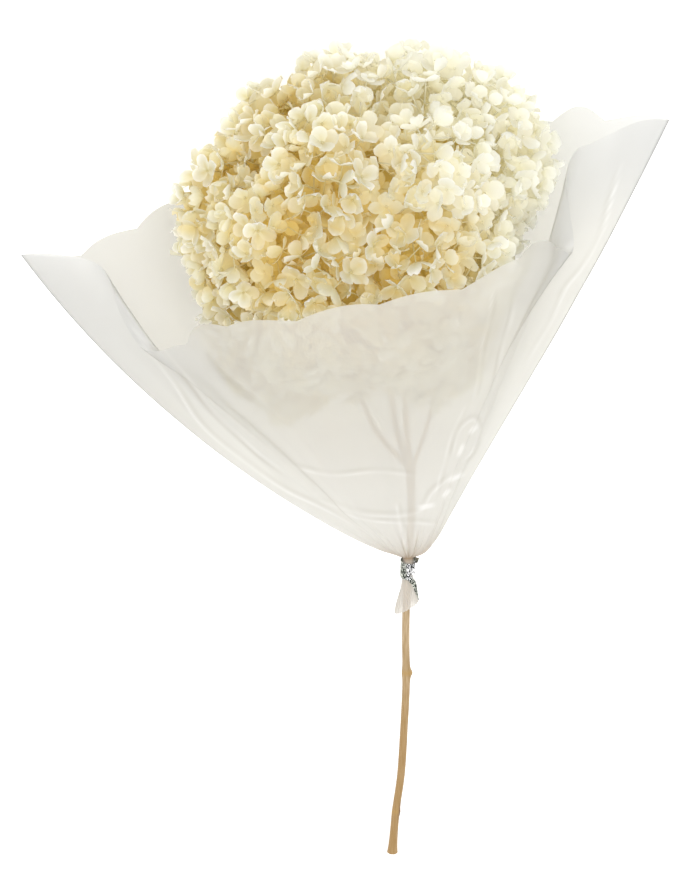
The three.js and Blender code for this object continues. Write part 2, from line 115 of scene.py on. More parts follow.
def smoothstep(low, high, value):
    share = np.clip((value - low) / (high - low), 0, 1)
    return share * share * (3 - 2 * share)


def smoothLine(points, perSpan=60):
    # a centripetal Catmull-Rom line through the points, and how long it is up to each sample
    p = np.array(points, float)
    p = np.vstack([2 * p[0] - p[1], p, 2 * p[-1] - p[-2]])
    samples = []
    for i in range(1, len(p) - 2):
        gap = [np.linalg.norm(p[i + k] - p[i + k - 1]) ** 0.5 for k in range(3)]
        lean = []
        for k in (0, 1):
            a, b, c = p[i + k - 1], p[i + k], p[i + k + 1]
            d, e = gap[k], gap[k + 1]
            lean.append(((b - a) / d - (c - a) / (d + e) + (c - b) / e) * gap[1])
        t = np.arange(perSpan + (i == len(p) - 3))[:, None] / perSpan
        a, b = p[i], p[i + 1]
        samples.append(a + lean[0] * t + (3 * (b - a) - 2 * lean[0] - lean[1]) * t ** 2
                       + (2 * (a - b) + lean[0] + lean[1]) * t ** 3)
    line = np.vstack(samples)
    run = np.concatenate([[0], np.cumsum(np.linalg.norm(np.diff(line, axis=0), axis=1))])
    return line, run / run[-1]


def alongLine(line, share):
    samples, run = line
    return np.stack([np.interp(share, run, samples[:, k]) for k in range(3)], axis=-1)


def newObject(name, data):
    thing = bpy.data.objects.new(name, data)
    bpy.context.scene.collection.objects.link(thing)
    return thing


def newMesh(name, points, faces, material, smooth=True):
    mesh = bpy.data.meshes.new(name)
    mesh.from_pydata((np.asarray(points) * mm + shift * mm).tolist(), [], faces)
    mesh.validate()
    mesh.shade_smooth() if smooth else mesh.shade_flat()
    mesh.materials.append(material)
    return newObject(name, mesh)


def storeNumbers(mesh, name, values):
    mesh.attributes.new(name, "FLOAT", "POINT").data.foreach_set("value", np.asarray(values, np.float32))


def finishPiece(piece, node):
    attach(piece, "root")
    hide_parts(node)


def gridFaces(rings, around):
    # the faces between closed rings of points
    return [(r * around + c, r * around + (c + 1) % around,
             (r + 1) * around + (c + 1) % around, (r + 1) * around + c)
            for r in range(rings - 1) for c in range(around)]


def sideAngles(sides):
    return (np.arange(sides) + 0.5) / sides * math.tau


# Stem: the wood, its nodes and scars, and the rays inside the head

stem = {
    "bends": [(25.6, -252.4), (27.7, -225.8), (30.7, -202.6), (32.6, -170.9), (33.9, -139.9), (33.5, -115),
              (33.7, -95), (34.8, -65.6), (35.3, -29), (34.1, -8), (33.4, 4.2)],
    "climb": 0.2316,
    "tiedAt": -67,  # where along it the tie sits
    "radius": 2.3, "cutEnd": 3.2, "cutFade": 5, "fork": 2.9, "forkFade": 9,
    "cutBevel": 0.9, "cutNarrows": 0.6, "bevelSteps": (1, 0.75, 0.5, 0.25),
    "nodes": [(-226, 0.12, 0.35), (-135.5, 0.45, 1.1)],  # place, swell and how far the bud scar stands out
    "nodeLength": 4.5, "budLength": 2, "budAngle": 0.6,
    "grooves": [(0.05, 7, 0.05), (0.04, 11, -0.08)],  # depth, count and twist
    "rayEnds": [(20, 70, 80), (2, 78, 82), (48, 80, 88), (28, 82, 112), (26, 86, 56)],
    "rayRadius": 1.5, "rayTip": 1.1, "raySides": 12, "raySteps": 24,
    "raysFrom": 0.985, "knee": (0.45, 0.12, -3),  # how far along, outwards and down each ray bends
    "aged": (-70, 110), "ringLength": 1.6,  # browner from here on, and over this length
    "scar": (-225, 5, 0.75),  # place, length and angle of the dark bruise
    "sides": 28, "steps": 420,
}


def stemHeight(y):
    return stem["cutEnd"] + stem["climb"] * (y - stem["bends"][0][1])


stemLine = smoothLine([(x, y, stemHeight(y)) for x, y in stem["bends"]])


def frameOn(line, share):
    step = 0.002
    centre = alongLine(line, share)
    ahead = unit(alongLine(line, np.minimum(share + step, 1)) - alongLine(line, np.maximum(share - step, 0)))
    across = unit(np.array([1.0, 0, 0]) - ahead * ahead[..., :1])
    return centre, ahead, across, np.cross(across, ahead)


neckCentre, neckAhead, neckAcross, neckUp = frameOn(
    stemLine, (stem["tiedAt"] - stem["bends"][0][1]) / (stem["bends"][-1][1] - stem["bends"][0][1]))


def tubeMesh(line, radii, shares, bevel=0):
    sides = radii.shape[1]
    angle = sideAngles(sides)
    centre, ahead, across, up = frameOn(line, shares)
    rings = (centre[:, None] + across[:, None] * (radii * np.cos(angle))[..., None]
             + up[:, None] * (radii * np.sin(angle))[..., None])
    if bevel:  # the first end is rounded off
        ends = [centre[0] - ahead[0] * bevel * (1 - (1 - k) ** 2)
                + (rings[0] - centre[0]) * (1 - stem["cutNarrows"] * k ** 3) for k in stem["bevelSteps"]]
        rings = np.concatenate([ends, rings])
    count = len(rings)
    faces = [(a, d, c, b) for a, b, c, d in gridFaces(count, sides)]
    faces += [tuple(range(sides)), tuple(reversed(range((count - 1) * sides, count * sides)))]
    return rings.reshape(-1, 3), faces


def stemRadii(y, angle):
    fromCut, fromFork = y - stem["bends"][0][1], y - stem["bends"][-1][1]
    radius = stem["radius"] + (stem["cutEnd"] - stem["radius"]) * np.exp(-fromCut / stem["cutFade"])
    radius = radius + (stem["fork"] - stem["radius"]) * np.exp(fromFork / stem["forkFade"])
    for place, swell, _ in stem["nodes"]:
        radius = radius + swell * np.exp(-((y - place) / stem["nodeLength"]) ** 2)
    radius = np.repeat(radius[:, None], len(angle), axis=1)
    turn = (angle + math.pi) % math.tau - math.pi
    for place, _, bud in stem["nodes"]:
        near = np.exp(-((y[:, None] - place) / stem["budLength"]) ** 2)
        radius = radius + bud * near * np.exp(-(turn / stem["budAngle"]) ** 2)
    return radius + sum(deep * np.sin(count * angle + twist * y[:, None])
                        for deep, count, twist in stem["grooves"])


def woodMaterial():
    # dried hydrangea bark: tan, matt, with fine lengthwise streaks
    material, tree = newMaterial("driedBark")
    coordinates = addNode(tree, "ShaderNodeTexCoord")
    stretched = addNode(tree, "ShaderNodeMapping", {
        "Vector": coordinates.outputs["Object"], "Scale": (1.0, 0.02, 0.3)})
    streaks = addNode(tree, "ShaderNodeTexNoise", {
        "Vector": stretched.outputs[0], "Scale": 1300.0, "Detail": 4.0})  # streaks about 0.8 mm wide
    tint = addRamp(tree, streaks.outputs["Fac"], [(0.3, "#9E855E"), (0.68, "#D0BB9C")])
    # browner towards the cut end, ochre at the nodes, and a dark bruise on the lower one
    tint = addMarks(tree, tint, [
        ("aged", "#9E7940", 0.75), ("ring", "#B08D50", 0.6), ("scar", "#5A3325", 0.85)])
    bump = addNode(tree, "ShaderNodeBump", {
        "Height": streaks.outputs["Fac"], "Strength": 0.35, "Distance": 0.0002})
    skin = addNode(tree, "ShaderNodeBsdfPrincipled", {
        "Base Color": tint, "Roughness": 0.62, "Normal": bump.outputs[0]})
    addNode(tree, "ShaderNodeOutputMaterial", {"Surface": skin.outputs[0]})
    return material


def makeStem():
    shares = np.linspace(0, 1, stem["steps"])
    angle = sideAngles(stem["sides"])
    y = alongLine(stemLine, shares)[:, 1]
    points, faces = tubeMesh(stemLine, stemRadii(y, angle), shares, stem["cutBevel"])
    bark = len(points)
    start = alongLine(stemLine, np.array([stem["raysFrom"]]))[0]
    onward, outward, down = stem["knee"]
    for end in stem["rayEnds"]:
        stop = np.array(end, float)
        knee = start + (stop - start) * onward + np.array([(stop[0] - start[0]) * outward, down, 0])
        radii = np.linspace(stem["rayRadius"], stem["rayTip"], stem["raySteps"])[:, None]
        more, moreFaces = tubeMesh(smoothLine([start, knee, stop]), radii * np.ones(stem["raySides"]),
                                   np.linspace(0, 1, stem["raySteps"]))
        faces += [tuple(k + len(points) for k in face) for face in moreFaces]
        points = np.vstack([points, more])
    piece = newMesh("stem_wood", points, faces, woodMaterial())
    y = points[:, 1]
    begin, over = stem["aged"]
    storeNumbers(piece.data, "aged", np.clip((begin - y) / over, 0, 1))
    rings = sum(np.exp(-((y - place) / stem["ringLength"]) ** 2) for place, _, _ in stem["nodes"])
    storeNumbers(piece.data, "ring", np.clip(rings, 0, 1))
    place, length, wide = stem["scar"]
    turn = np.resize(angle, len(points))
    scar = np.exp(-((y - place) / length) ** 4) * np.exp(-(np.minimum(turn, math.tau - turn) / wide) ** 4)
    storeNumbers(piece.data, "scar", scar * (np.arange(len(points)) < bark))
    finishPiece(piece, "stem")


# Flower head: the rounded groups (cymes) that the florets stand on

head = {
    "centre": np.array([9, 143.5, 91]),
    "cymes": [(-71, 1, 0, 42), (-79, 27, 6, 35), (-46, 58, 0, 40), (-13, 77, 0, 40), (36, 77, 0, 41),
              (64, 66, 2, 40), (76, 46, 0, 39), (61, 18, 0, 38), (40, -18, 0, 42), (30, -61, 0, 40),
              (-12, -70, 0, 41), (-37, -64, 0, 43), (-60, -31, 0, 42), (-50, 5, 42, 45), (-18, 45, 45, 45),
              (35, 42, 44, 46), (48, 5, 40, 42), (16, -32, 45, 44), (-30, -36, 44, 44), (-32, 0, 51, 43),
              (26, 8, 52, 43), (-50, 5, -38, 44), (-15, 40, -42, 43), (35, 35, -42, 44), (46, 5, -38, 42),
              (15, -34, -42, 43), (-30, -36, -40, 43), (0, 5, -46, 43)],
    "stalkOpening": 0.93,
    "standsOut": 5.5, "give": 2,  # how far a sepal may stand out of the groups, and how softly it is held
    "pedicelsIn": -3,  # the pedicels stay at least 3 mm inside
    "floor": 1.2,
    "paintedLitSide": 0.8, "paleWay": np.array([0.75, 0.66, 0]), "paleFrom": (10, 95),  # painted highlight on one side of the head: how strong, which way, and over what distance
    "deepOver": 20, "deepCurve": 1.2, "cleft": (0.6, 3),  # painted golden shade: over what depth it grows and how steeply, and its strength and width between groups
}
cymeCentres = np.array([c[:3] for c in head["cymes"]], float)
cymeRadii = np.array([c[3] for c in head["cymes"]], float)


def exits(ways):
    # how far along each unit vector each group ends, seen from the middle of the head, 0 where it is missed
    along = ways @ cymeCentres.T
    inside = cymeRadii ** 2 - ((cymeCentres ** 2).sum(axis=1) - along ** 2)
    return np.where(inside > 0, along + np.sqrt(np.maximum(inside, 0)), 0)


def reach(ways):
    # how far the groups reach from the middle of the head, along each unit vector
    return exits(ways).max(axis=-1)


def standing(points):
    # how far each point stands out of the groups, negative inside
    arms = points - head["centre"]
    far = np.linalg.norm(arms, axis=-1)
    return far - reach(unit(arms))


def groove(ways):
    # nearly 0 where two groups meet, along each unit vector
    far = np.sort(exits(ways), axis=-1)
    return far[..., -1] - far[..., -2]


# Florets: four rounded sepals each, on a thin pedicel, scattered over the groups in three layers

floret = {
    "sepalLength": 10.6, "sepalWidth": 4.8, "sepalRows": (0, 0.3, 0.62, 0.88, 1), "sepalSides": 4,
    "outline": (0.56, 0.475, 0.06),  # where a sepal is widest, how long its oval is and its least width
    "lengths": (0.84, 1.14), "widths": (0.82, 1.12), "cups": (-0.4, 3.6), "rolls": (0.2, 2.6),
    "raised": (4, 104), "opposite": 7, "twist": 10,  # degrees
    "variants": 12, "firstSeed": 40,
    "pedicelLength": 13, "pedicelRadius": 0.45, "pedicelLean": 2,
    "bead": 1.0,
    "layers": [  # name, share of the reach, spacing in mm, seed
        ("florets_outer", 0.97, 10.2, 3),
        ("florets_inner", 0.87, 11.5, 8),
        ("florets_deep", 0.74, 14.0, 5),
    ],
    "density": 40000.0, "sizes": (0.86, 1.14), "tones": (-0.5, 0.9),
    "tilt": 1.4,
    "core": 0.64,
    "sunk": 7.0,  # the most that a floret stands lower than its neighbours
}


def sepalSheet(rng, turn, raised):
    # one sepal as rows of points from its claw to its tip, cupped along and across
    length = floret["sepalLength"] * rng.uniform(*floret["lengths"])
    width = floret["sepalWidth"] * rng.uniform(*floret["widths"])
    cup, roll, wave = rng.uniform(*floret["cups"]), rng.uniform(*floret["rolls"]), rng.uniform(0, 6.3)
    widest, oval, least = floret["outline"]
    sides, rows = floret["sepalSides"], len(floret["sepalRows"]) - 1
    points, alongs = [], []
    for t in floret["sepalRows"]:
        wide = width * math.sqrt(max(least, 1 - ((t - widest) / oval) ** 2))
        for c in range(sides + 1):
            w = 2 * c / sides - 1
            # the tip is rounded, the edges are rolled and rippled a little
            out = length * (t - 0.04 * w * w * t ** 3)
            z = cup * (t * t - t) * 2 + roll * w * w * t + 0.3 * math.sin(wave + 3.1 * w + 4 * t) * t
            x, y = wide * w, out * math.cos(raised) - z * math.sin(raised)
            z = out * math.sin(raised) + z * math.cos(raised)
            points.append((x * math.cos(turn) - y * math.sin(turn),
                           x * math.sin(turn) + y * math.cos(turn), z))
            # 0 at the claw, rising towards the tip and the edges: the colour makes the claw yellower and
            # paints a highlight on rim and tip
            alongs.append(max(t * t, abs(w)) * (0.4 + 0.6 * t))
    across = sides + 1
    faces = [(r * across + c, r * across + c + 1, (r + 1) * across + c + 1, (r + 1) * across + c)
             for r in range(rows) for c in range(sides)]
    return points, faces, alongs


def floretMesh(name, seed):
    rng = random.Random(seed)
    points, faces, alongs = [], [], []

    def add(morePoints, moreFaces, moreAlongs):
        base = len(points)
        points.extend(morePoints)
        faces.extend(tuple(base + k for k in face) for face in moreFaces)
        alongs.extend(moreAlongs)

    openness = rng.uniform(0.1, 1)
    for quarter in range(4):
        low, high = floret["raised"]
        folded = low + (high - low) * openness * rng.random()
        raised = math.radians(folded + floret["opposite"] * (quarter % 2))
        turn = math.radians(90 * quarter + rng.uniform(-floret["twist"], floret["twist"]))
        add(*sepalSheet(rng, turn, raised))
    ring = [(math.cos(k * math.tau / 5), math.sin(k * math.tau / 5)) for k in range(5)]
    bead = floret["bead"]
    # the bead in the middle, with five sides; below 0, along marks what isn't sepal
    add([(0, 0, -0.3 * bead)] + [(x * bead, y * bead, 0.6 * bead) for x, y in ring] + [(0, 0, 1.7 * bead)],
        [(0, 1 + (k + 1) % 5, 1 + k) for k in range(5)] + [(6, 1 + k, 1 + (k + 1) % 5) for k in range(5)],
        [-0.2] * 7)
    thin, deep = floret["pedicelRadius"], floret["pedicelLength"]
    lean = rng.uniform(-floret["pedicelLean"], floret["pedicelLean"])
    corners = [(math.cos(k * math.tau / 3), math.sin(k * math.tau / 3)) for k in range(3)]
    add([(x * thin, y * thin, 0.1) for x, y in corners]
        + [(x * thin + lean, y * thin, -deep) for x, y in corners],
        [(k, k + 3, (k + 1) % 3 + 3, (k + 1) % 3) for k in range(3)] + [(3, 5, 4)], [-0.5] * 6)
    mesh = bpy.data.meshes.new(name)
    mesh.from_pydata((np.array(points) * mm).tolist(), [], faces)
    mesh.shade_smooth()
    storeNumbers(mesh, "along", alongs)
    return mesh


def petalMaterial():
    # preserved hydrangea sepals, dried and dyed cream: thin, matt and letting warm light through
    material, tree = newMaterial("preservedSepals")
    # the sepal's own tint, yellower towards the claw, with a painted highlight whitening its rim and tip
    rimLit = addRamp(tree, readNumbers(tree, "along"), [
        (0.0, "#DCD4A6"), (0.35, "#E9E8D8"), (0.65, "#F2F2EA"), (0.86, "#FCFCFA"), (1.0, "#FFFFFF")])
    shade = addNode(tree, "ShaderNodeMapRange", {
        "Value": readNumbers(tree, "tone"), "To Min": floret["tones"][0], "To Max": floret["tones"][1]})
    warm = mixColours(tree, shade.outputs[0], rimLit, fromHex("#E8E4CB"))
    # painted golden shade in the deep places and between the groups
    golden = mixColours(tree, readNumbers(tree, "deep"), warm, fromHex("#E8D386"))
    coordinates = addNode(tree, "ShaderNodeTexCoord")
    mottle = addNode(tree, "ShaderNodeTexNoise", {
        "Vector": coordinates.outputs["Object"], "Scale": 160.0, "Detail": 3.0})  # blotches of about 6 mm
    spot = addNode(tree, "ShaderNodeMapRange", {
        "Value": mottle.outputs["Fac"], "From Min": 0.35, "From Max": 0.75, "To Min": 0.0, "To Max": 0.22})
    spotted = mixColours(tree, spot.outputs[0], golden, fromHex("#EAE6C4"))
    # painted highlight whitening the upper right side of the head
    whiter = mixColours(tree, readNumbers(tree, "paintedLitSide"), spotted, fromHex("#F4F4ED"))
    skin = addNode(tree, "ShaderNodeBsdfPrincipled", {
        "Base Color": whiter, "Roughness": 0.62, "IOR": 1.4, "Sheen Weight": 0.45, "Sheen Roughness": 0.5})
    glow = addNode(tree, "ShaderNodeBsdfTranslucent", {"Color": whiter})
    sepal = addNode(tree, "ShaderNodeMixShader", {0: 0.45, 1: skin.outputs[0], 2: glow.outputs[0]})
    letThrough(tree, sepal.outputs[0], "#FBF8DE", 0.82)  # the light turns golden on its way in
    return material


def scatterTree(variants, material):
    tree = bpy.data.node_groups.new("scatterFlorets", "GeometryNodeTree")
    sockets = {}
    for name, kind, direction in (
            ("Geometry", "NodeSocketGeometry", "INPUT"), ("Spacing", "NodeSocketFloat", "INPUT"),
            ("Tilt", "NodeSocketFloat", "INPUT"), ("Sunk", "NodeSocketFloat", "INPUT"),
            ("Seed", "NodeSocketInt", "INPUT"),
            ("Geometry", "NodeSocketGeometry", "OUTPUT")):
        socket = tree.interface.new_socket(name, in_out=direction, socket_type=kind)
        sockets[name] = socket.identifier if direction == "INPUT" else sockets[name]
    given = addNode(tree, "NodeGroupInput")
    spread = addNode(tree, "GeometryNodeDistributePointsOnFaces", {
        "Mesh": given.outputs["Geometry"], "Distance Min": given.outputs["Spacing"],
        "Density Max": floret["density"], "Seed": given.outputs["Seed"]}, distribute_method="POISSON")
    away = addNode(tree, "ShaderNodeVectorMath", {
        0: addNode(tree, "GeometryNodeInputPosition").outputs[0],
        1: tuple((head["centre"] + shift) * mm)}, operation="SUBTRACT")
    radial = addNode(tree, "ShaderNodeVectorMath", {0: away.outputs[0]}, operation="NORMALIZE")
    facing = addNode(tree, "ShaderNodeVectorMath", {
        0: spread.outputs["Normal"], 1: radial.outputs[0]}, operation="ADD")
    evenly = addNode(tree, "ShaderNodeVectorMath", {0: facing.outputs[0]}, operation="NORMALIZE")
    depth = addNode(tree, "FunctionNodeRandomValue", {
        2: given.outputs["Sunk"], 3: 0.0, "Seed": 10}, data_type="FLOAT")
    inward = addNode(tree, "ShaderNodeVectorMath", {
        0: evenly.outputs[0], "Scale": depth.outputs[1]}, operation="SCALE")
    lowered = addNode(tree, "GeometryNodeSetPosition", {
        "Geometry": spread.outputs["Points"], "Offset": inward.outputs[0]})
    tilt = addNode(tree, "FunctionNodeRandomValue", {
        0: (-1.0, -1.0, -1.0), 1: (1.0, 1.0, 1.0), "Seed": 11}, data_type="FLOAT_VECTOR")
    leaning = addNode(tree, "ShaderNodeVectorMath", {
        0: tilt.outputs[0], "Scale": given.outputs["Tilt"]}, operation="SCALE")
    towards = addNode(tree, "ShaderNodeVectorMath", {
        0: evenly.outputs[0], 1: leaning.outputs[0]}, operation="ADD")
    turned = addNode(tree, "FunctionNodeAlignRotationToVector", {"Vector": towards.outputs[0]}, axis="Z")
    spin = addNode(tree, "FunctionNodeRandomValue", {2: 0.0, 3: math.tau, "Seed": 12}, data_type="FLOAT")
    spinning = addNode(tree, "FunctionNodeAxisAngleToRotation", {
        "Axis": (0.0, 0.0, 1.0), "Angle": spin.outputs[1]})
    pose = addNode(tree, "FunctionNodeRotateRotation", {
        0: turned.outputs[0], 1: spinning.outputs[0]}, rotation_space="LOCAL")
    size = addNode(tree, "FunctionNodeRandomValue", {
        2: floret["sizes"][0], 3: floret["sizes"][1], "Seed": 13}, data_type="FLOAT")
    pick = addNode(tree, "FunctionNodeRandomValue", {
        4: 0, 5: floret["variants"] - 1, "Seed": 14}, data_type="INT")
    kinds = addNode(tree, "GeometryNodeCollectionInfo", {
        "Collection": variants, "Separate Children": True, "Reset Children": True})
    placed = addNode(tree, "GeometryNodeInstanceOnPoints", {
        "Points": lowered.outputs[0], "Instance": kinds.outputs[0], "Pick Instance": True,
        "Instance Index": pick.outputs[2], "Rotation": pose.outputs[0], "Scale": size.outputs[1]})
    tone = addNode(tree, "FunctionNodeRandomValue", {2: 0.0, 3: 1.0, "Seed": 15}, data_type="FLOAT")
    toned = addNode(tree, "GeometryNodeStoreNamedAttribute", {
        "Geometry": placed.outputs[0], "Name": "tone", "Value": tone.outputs[1]},
        data_type="FLOAT", domain="INSTANCE")
    solid = addNode(tree, "GeometryNodeRealizeInstances", {"Geometry": toned.outputs[0]})
    painted = addNode(tree, "GeometryNodeSetMaterial", {
        "Geometry": solid.outputs[0], "Material": material})
    addNode(tree, "NodeGroupOutput", {0: painted.outputs[0]})
    return tree, sockets


def groupsForm(share):
    # the rounded groups as one surface, a share of the way out, open where the stem comes in
    bpy.ops.mesh.primitive_ico_sphere_add(subdivisions=6, radius=1)
    form = bpy.context.object
    count = len(form.data.vertices)
    ways = np.empty(count * 3)
    form.data.vertices.foreach_get("co", ways)
    ways = unit(ways.reshape(-1, 3))
    points = head["centre"] + ways * (reach(ways) * share)[:, None]
    form.data.vertices.foreach_set("co", ((points + shift) * mm).ravel())
    faces = [tuple(p.vertices) for p in form.data.polygons]
    kept = [f for f in faces if ways[list(f), 1].mean() > -head["stalkOpening"]]
    mesh = bpy.data.meshes.new("groupsForm")
    mesh.from_pydata([v.co[:] for v in form.data.vertices], [], kept)
    bpy.data.objects.remove(form)
    return newObject("groupsForm", mesh)


def settle(mesh):
    # sepals that would stand out too far, or below the film, are bent back, and the deep ones and those
    # between groups get painted golden shade
    count = len(mesh.vertices)
    places = np.empty(count * 3)
    mesh.vertices.foreach_get("co", places)
    places = places.reshape(-1, 3) / mm - shift
    out = standing(places)
    alongs = np.empty(count)
    mesh.attributes["along"].data.foreach_get("value", alongs)
    most = np.where(alongs < -0.3, head["pedicelsIn"], head["standsOut"])
    give = head["give"]
    held = np.where(out > most - give, most - give + give * np.tanh((out - most + give) / 2 / give), out)
    arms = places - head["centre"]
    ways = unit(arms)
    places += ways * (held - out)[:, None]
    places[:, 2] = np.maximum(places[:, 2], head["floor"])
    mesh.vertices.foreach_set("co", ((places + shift) * mm).ravel())
    # painted golden shade, stronger the deeper a sepal lies, and in the clefts between groups
    sunk = np.clip((1 - held) / head["deepOver"], 0, 1) ** head["deepCurve"]
    strength, wide = head["cleft"]
    cleft = strength * np.exp(-(groove(ways) / wide) ** 2)
    storeNumbers(mesh, "deep", np.minimum(sunk + cleft, 1))
    # painted highlight on the upper right side of the head
    storeNumbers(mesh, "paintedLitSide", head["paintedLitSide"] * smoothstep(*head["paleFrom"], arms @ head["paleWay"]))
    mesh.update()


def makeFlorets():
    material = petalMaterial()
    variants = bpy.data.collections.new("floretKinds")
    for k in range(floret["variants"]):
        name = f"floretKind{k}"
        variants.objects.link(bpy.data.objects.new(name, floretMesh(name, floret["firstSeed"] + k)))
    tree, sockets = scatterTree(variants, material)
    for name, share, spacing, seed in floret["layers"]:
        form = groupsForm(share)
        scatter = form.modifiers.new("scatter", "NODES")
        scatter.node_group = tree
        scatter[sockets["Spacing"]] = spacing * mm
        scatter[sockets["Tilt"]] = floret["tilt"]
        scatter[sockets["Sunk"]] = -floret["sunk"] * mm
        scatter[sockets["Seed"]] = seed
        seen = form.evaluated_get(bpy.context.evaluated_depsgraph_get())
        mesh = bpy.data.meshes.new_from_object(seen)
        bpy.data.objects.remove(form)
        settle(mesh)
        piece = newObject(name, mesh)
        print(name, "faces", len(mesh.polygons))
        finishPiece(piece, "flower_head")
    core = groupsForm(floret["core"])
    core.name = "pedicel_core"
    core.data.materials.append(material)
    # the core lies all in painted golden shade
    storeNumbers(core.data, "deep", np.ones(len(core.data.vertices)))
    finishPiece(core, "flower_head")


# Film: the same sleeve as in the CAD, drawn finer, as one sheet

film = {
    "frontRim": [(-199, 134, 82), (-174, 131, 82), (-152, 127, 80), (-141, 112, 84), (-135, 92, 82),
                 (-126, 77, 82), (-112, 75, 92), (-100, 86, 116), (-86, 102, 146), (-42, 113, 184),
                 (5, 125, 195), (52, 138, 184), (84, 154, 152), (98, 158, 116), (113, 150, 97),
                 (130, 132, 80), (132, 156, 82), (127, 175, 83), (129, 187, 81), (137, 198, 78),
                 (157, 205, 78), (174, 212, 81), (192, 217, 84)],
    "backRim": [(-199, 134, 82), (-176, 127, 66), (-148, 132, 42), (-118, 144, 18), (-80, 158, 3),
                (0, 178, 0), (75, 190, 2), (112, 200, 20), (136, 213, 44), (160, 212, 66), (192, 217, 84)],
    "scallops": (12, 10), "scallopDepth": 5, "columnsPerScallop": 20,
    "scallopMiddle": 0.65,
    "bows": [(-12, -15, 0), (5, -3, 0)], "bowWidth": 0.12,  # the left and right folds bow in
    "foldWindow": 1.5,  # in scallops
    "foldFade": 3,
    "overFlower": 7.2,  # how far the film keeps off the groups
    "bulgeSteps": 48, "rows": 175, "crowding": 1.45, "bridged": 11,
    "feelers": [(4.0, 40, 0), (1.0, 5, 4), (0.25, 5, 1)],  # step in mm, how many, and how far back first
    "spread": (6.5, 11.5),  # above the tie, left and right
    "spreadStart": (0.09, 0.04), "spreadFade": (0.3, 0.14),
    "lowest": 0.4,
    "gathers": 1.3, "gatherStart": 0.03, "gatherFade": 0.09,
    "gatherWaves": [(1, 23, 1, 0), (0.6, 37, 2, 9), (0.5, 11, 0, 0)],  # height, count, start and twist
    "closeFade": 0.035, "closeBelow": 0.15,  # how the stem shows through above and below the tie
    "lean": 12,  # of the view that the creases are drawn in
    "wander": (0.7, 7.1, 8.3),  # how far and over what lengths their lines waver
    "creaseHeight": 0.7, "creaseEnds": 0.2, "markLeast": 0.4, "markWaves": 8, "markWidth": 0.8,
    "besideAt": 2.2, "besideWidth": 1.1, "besideShare": 0.7,
    "creases": [  # panel, height, reach to the left and right of the line, and the line seen from above
        ("front", 1.9, 12, 2.2, [(-135, 76), (-123, 59), (-108, 39), (-93, 18), (-76, -1), (-60, -14),
                                 (-33, -30), (-3, -46), (18, -59)]),
        ("front", -1.1, 3, 2, [(-118, 62), (-102, 42), (-87, 23), (-70, 5), (-55, -9), (-30, -24)]),
        ("front", 1.5, 1.8, 4, [(-21, -34), (11, -42), (38, -43), (44, -40), (51, -28), (62, -19),
                                (71, -16)]),
        ("front", 1.1, 1.6, 2.4, [(-6, -40), (7, -44), (25, -47), (55, -50)]),
        ("front", 1.2, 2, 5, [(70, 25), (59, 1), (54, -16), (50, -35)]),
        ("front", 1.1, 1.8, 1.8, [(60, -10), (65, 7), (74, 14), (77, 8), (72, -5), (64, -13)]),
        ("front", 1.5, 8, 3, [(104, 42), (118, 70), (128, 91), (139, 104), (152, 132), (163, 175)]),
        ("front", 0.5, 6, 4, [(-39, -12), (-12, -20), (15, -17), (42, -22)]),
        ("front", 0.7, 3, 3, [(85, 94), (78, 52), (72, 22)]),
        ("front", -0.6, 3, 3, [(97, 91), (90, 55), (82, 26)]),
        ("front", 0.8, 3, 5, [(28, -35), (30, -50), (33, -65)]),
        ("back", -1.6, 7, 12, [(-129, 128), (-123, 104), (-114, 73), (-107, 54)]),
        ("back", 1.2, 6, 8, [(-157, 115), (-145, 94), (-132, 67)]),
    ],
    "glints": [  # place seen from above, half length and angle
        (46, -38.5, 5, 14), (63, -20.5, 5, 22), (66, -4, 4, 62), (74, 8, 3, 50), (58, -30, 3, 55)],
    "glintStrength": 1.8, "glintWidth": 1.5,
    # where the painted shade at the corners begins and where it is full
    "corner": (0.15, 0.6), "greyFrom": (0.35, 0.68), "rightOf": 20, "greyFull": 0.95,
    # painted shade on the back panel and on the front panel: how strong, and where it fades in
    "paintedShadeBack": 1.2, "backAbove": (0.3, 0.6), "backLeftOf": (-60, -110),
    "paintedShadeFront": 0.25, "frontBelow": (0.8, 0.5), "frontLeftOf": (-10, -80),
    "neckHalf": 7.5, "neckRadius": 3.3,
    "tailLength": (23, 15), "tailRadius": 6.6, "tailFlatness": 0.8, "pleats": 22, "pleatDepth": 0.55,
    "tailRows": 14,
}
frontLine = smoothLine(film["frontRim"])
backLine = smoothLine(film["backRim"])
seamColumn = film["scallops"][0] * film["columnsPerScallop"]
columns = sum(film["scallops"]) * film["columnsPerScallop"]


def filmSides():
    # for each column: whether it is on the front, its share along its rim, its scallops and its angle
    column = np.arange(columns)
    front = column <= seamColumn
    share = np.where(front, column / seamColumn, (columns - column) / (columns - seamColumn))
    scallops = np.where(front, *film["scallops"])
    angle = np.where(front, 1, -1) * np.pi * (1 - share)
    return front, share, scallops, angle


def rimPoint(front, share):
    return np.where(front[:, None], alongLine(frontLine, share), alongLine(backLine, share))


def neckRing(angle, radius, along):
    return (neckCentre + neckAhead * along + np.outer(radius * np.cos(angle), neckAcross)
            + np.outer(radius * np.sin(angle), neckUp))


def tautBulge(heights, shares):
    # the film is pulled taut over the flower: the upper hull of the heights that clear it
    hull = []
    for i, height in enumerate(heights):
        while len(hull) > 1:
            (a, low), (b, high) = hull[-2:]
            if (high - low) * (i - a) > (height - low) * (b - a):
                break
            hull.pop()
        hull.append((i, height))
    places = np.array([i for i, _ in hull]) / (len(heights) - 1)
    return np.interp(shares, places, [height for _, height in hull])


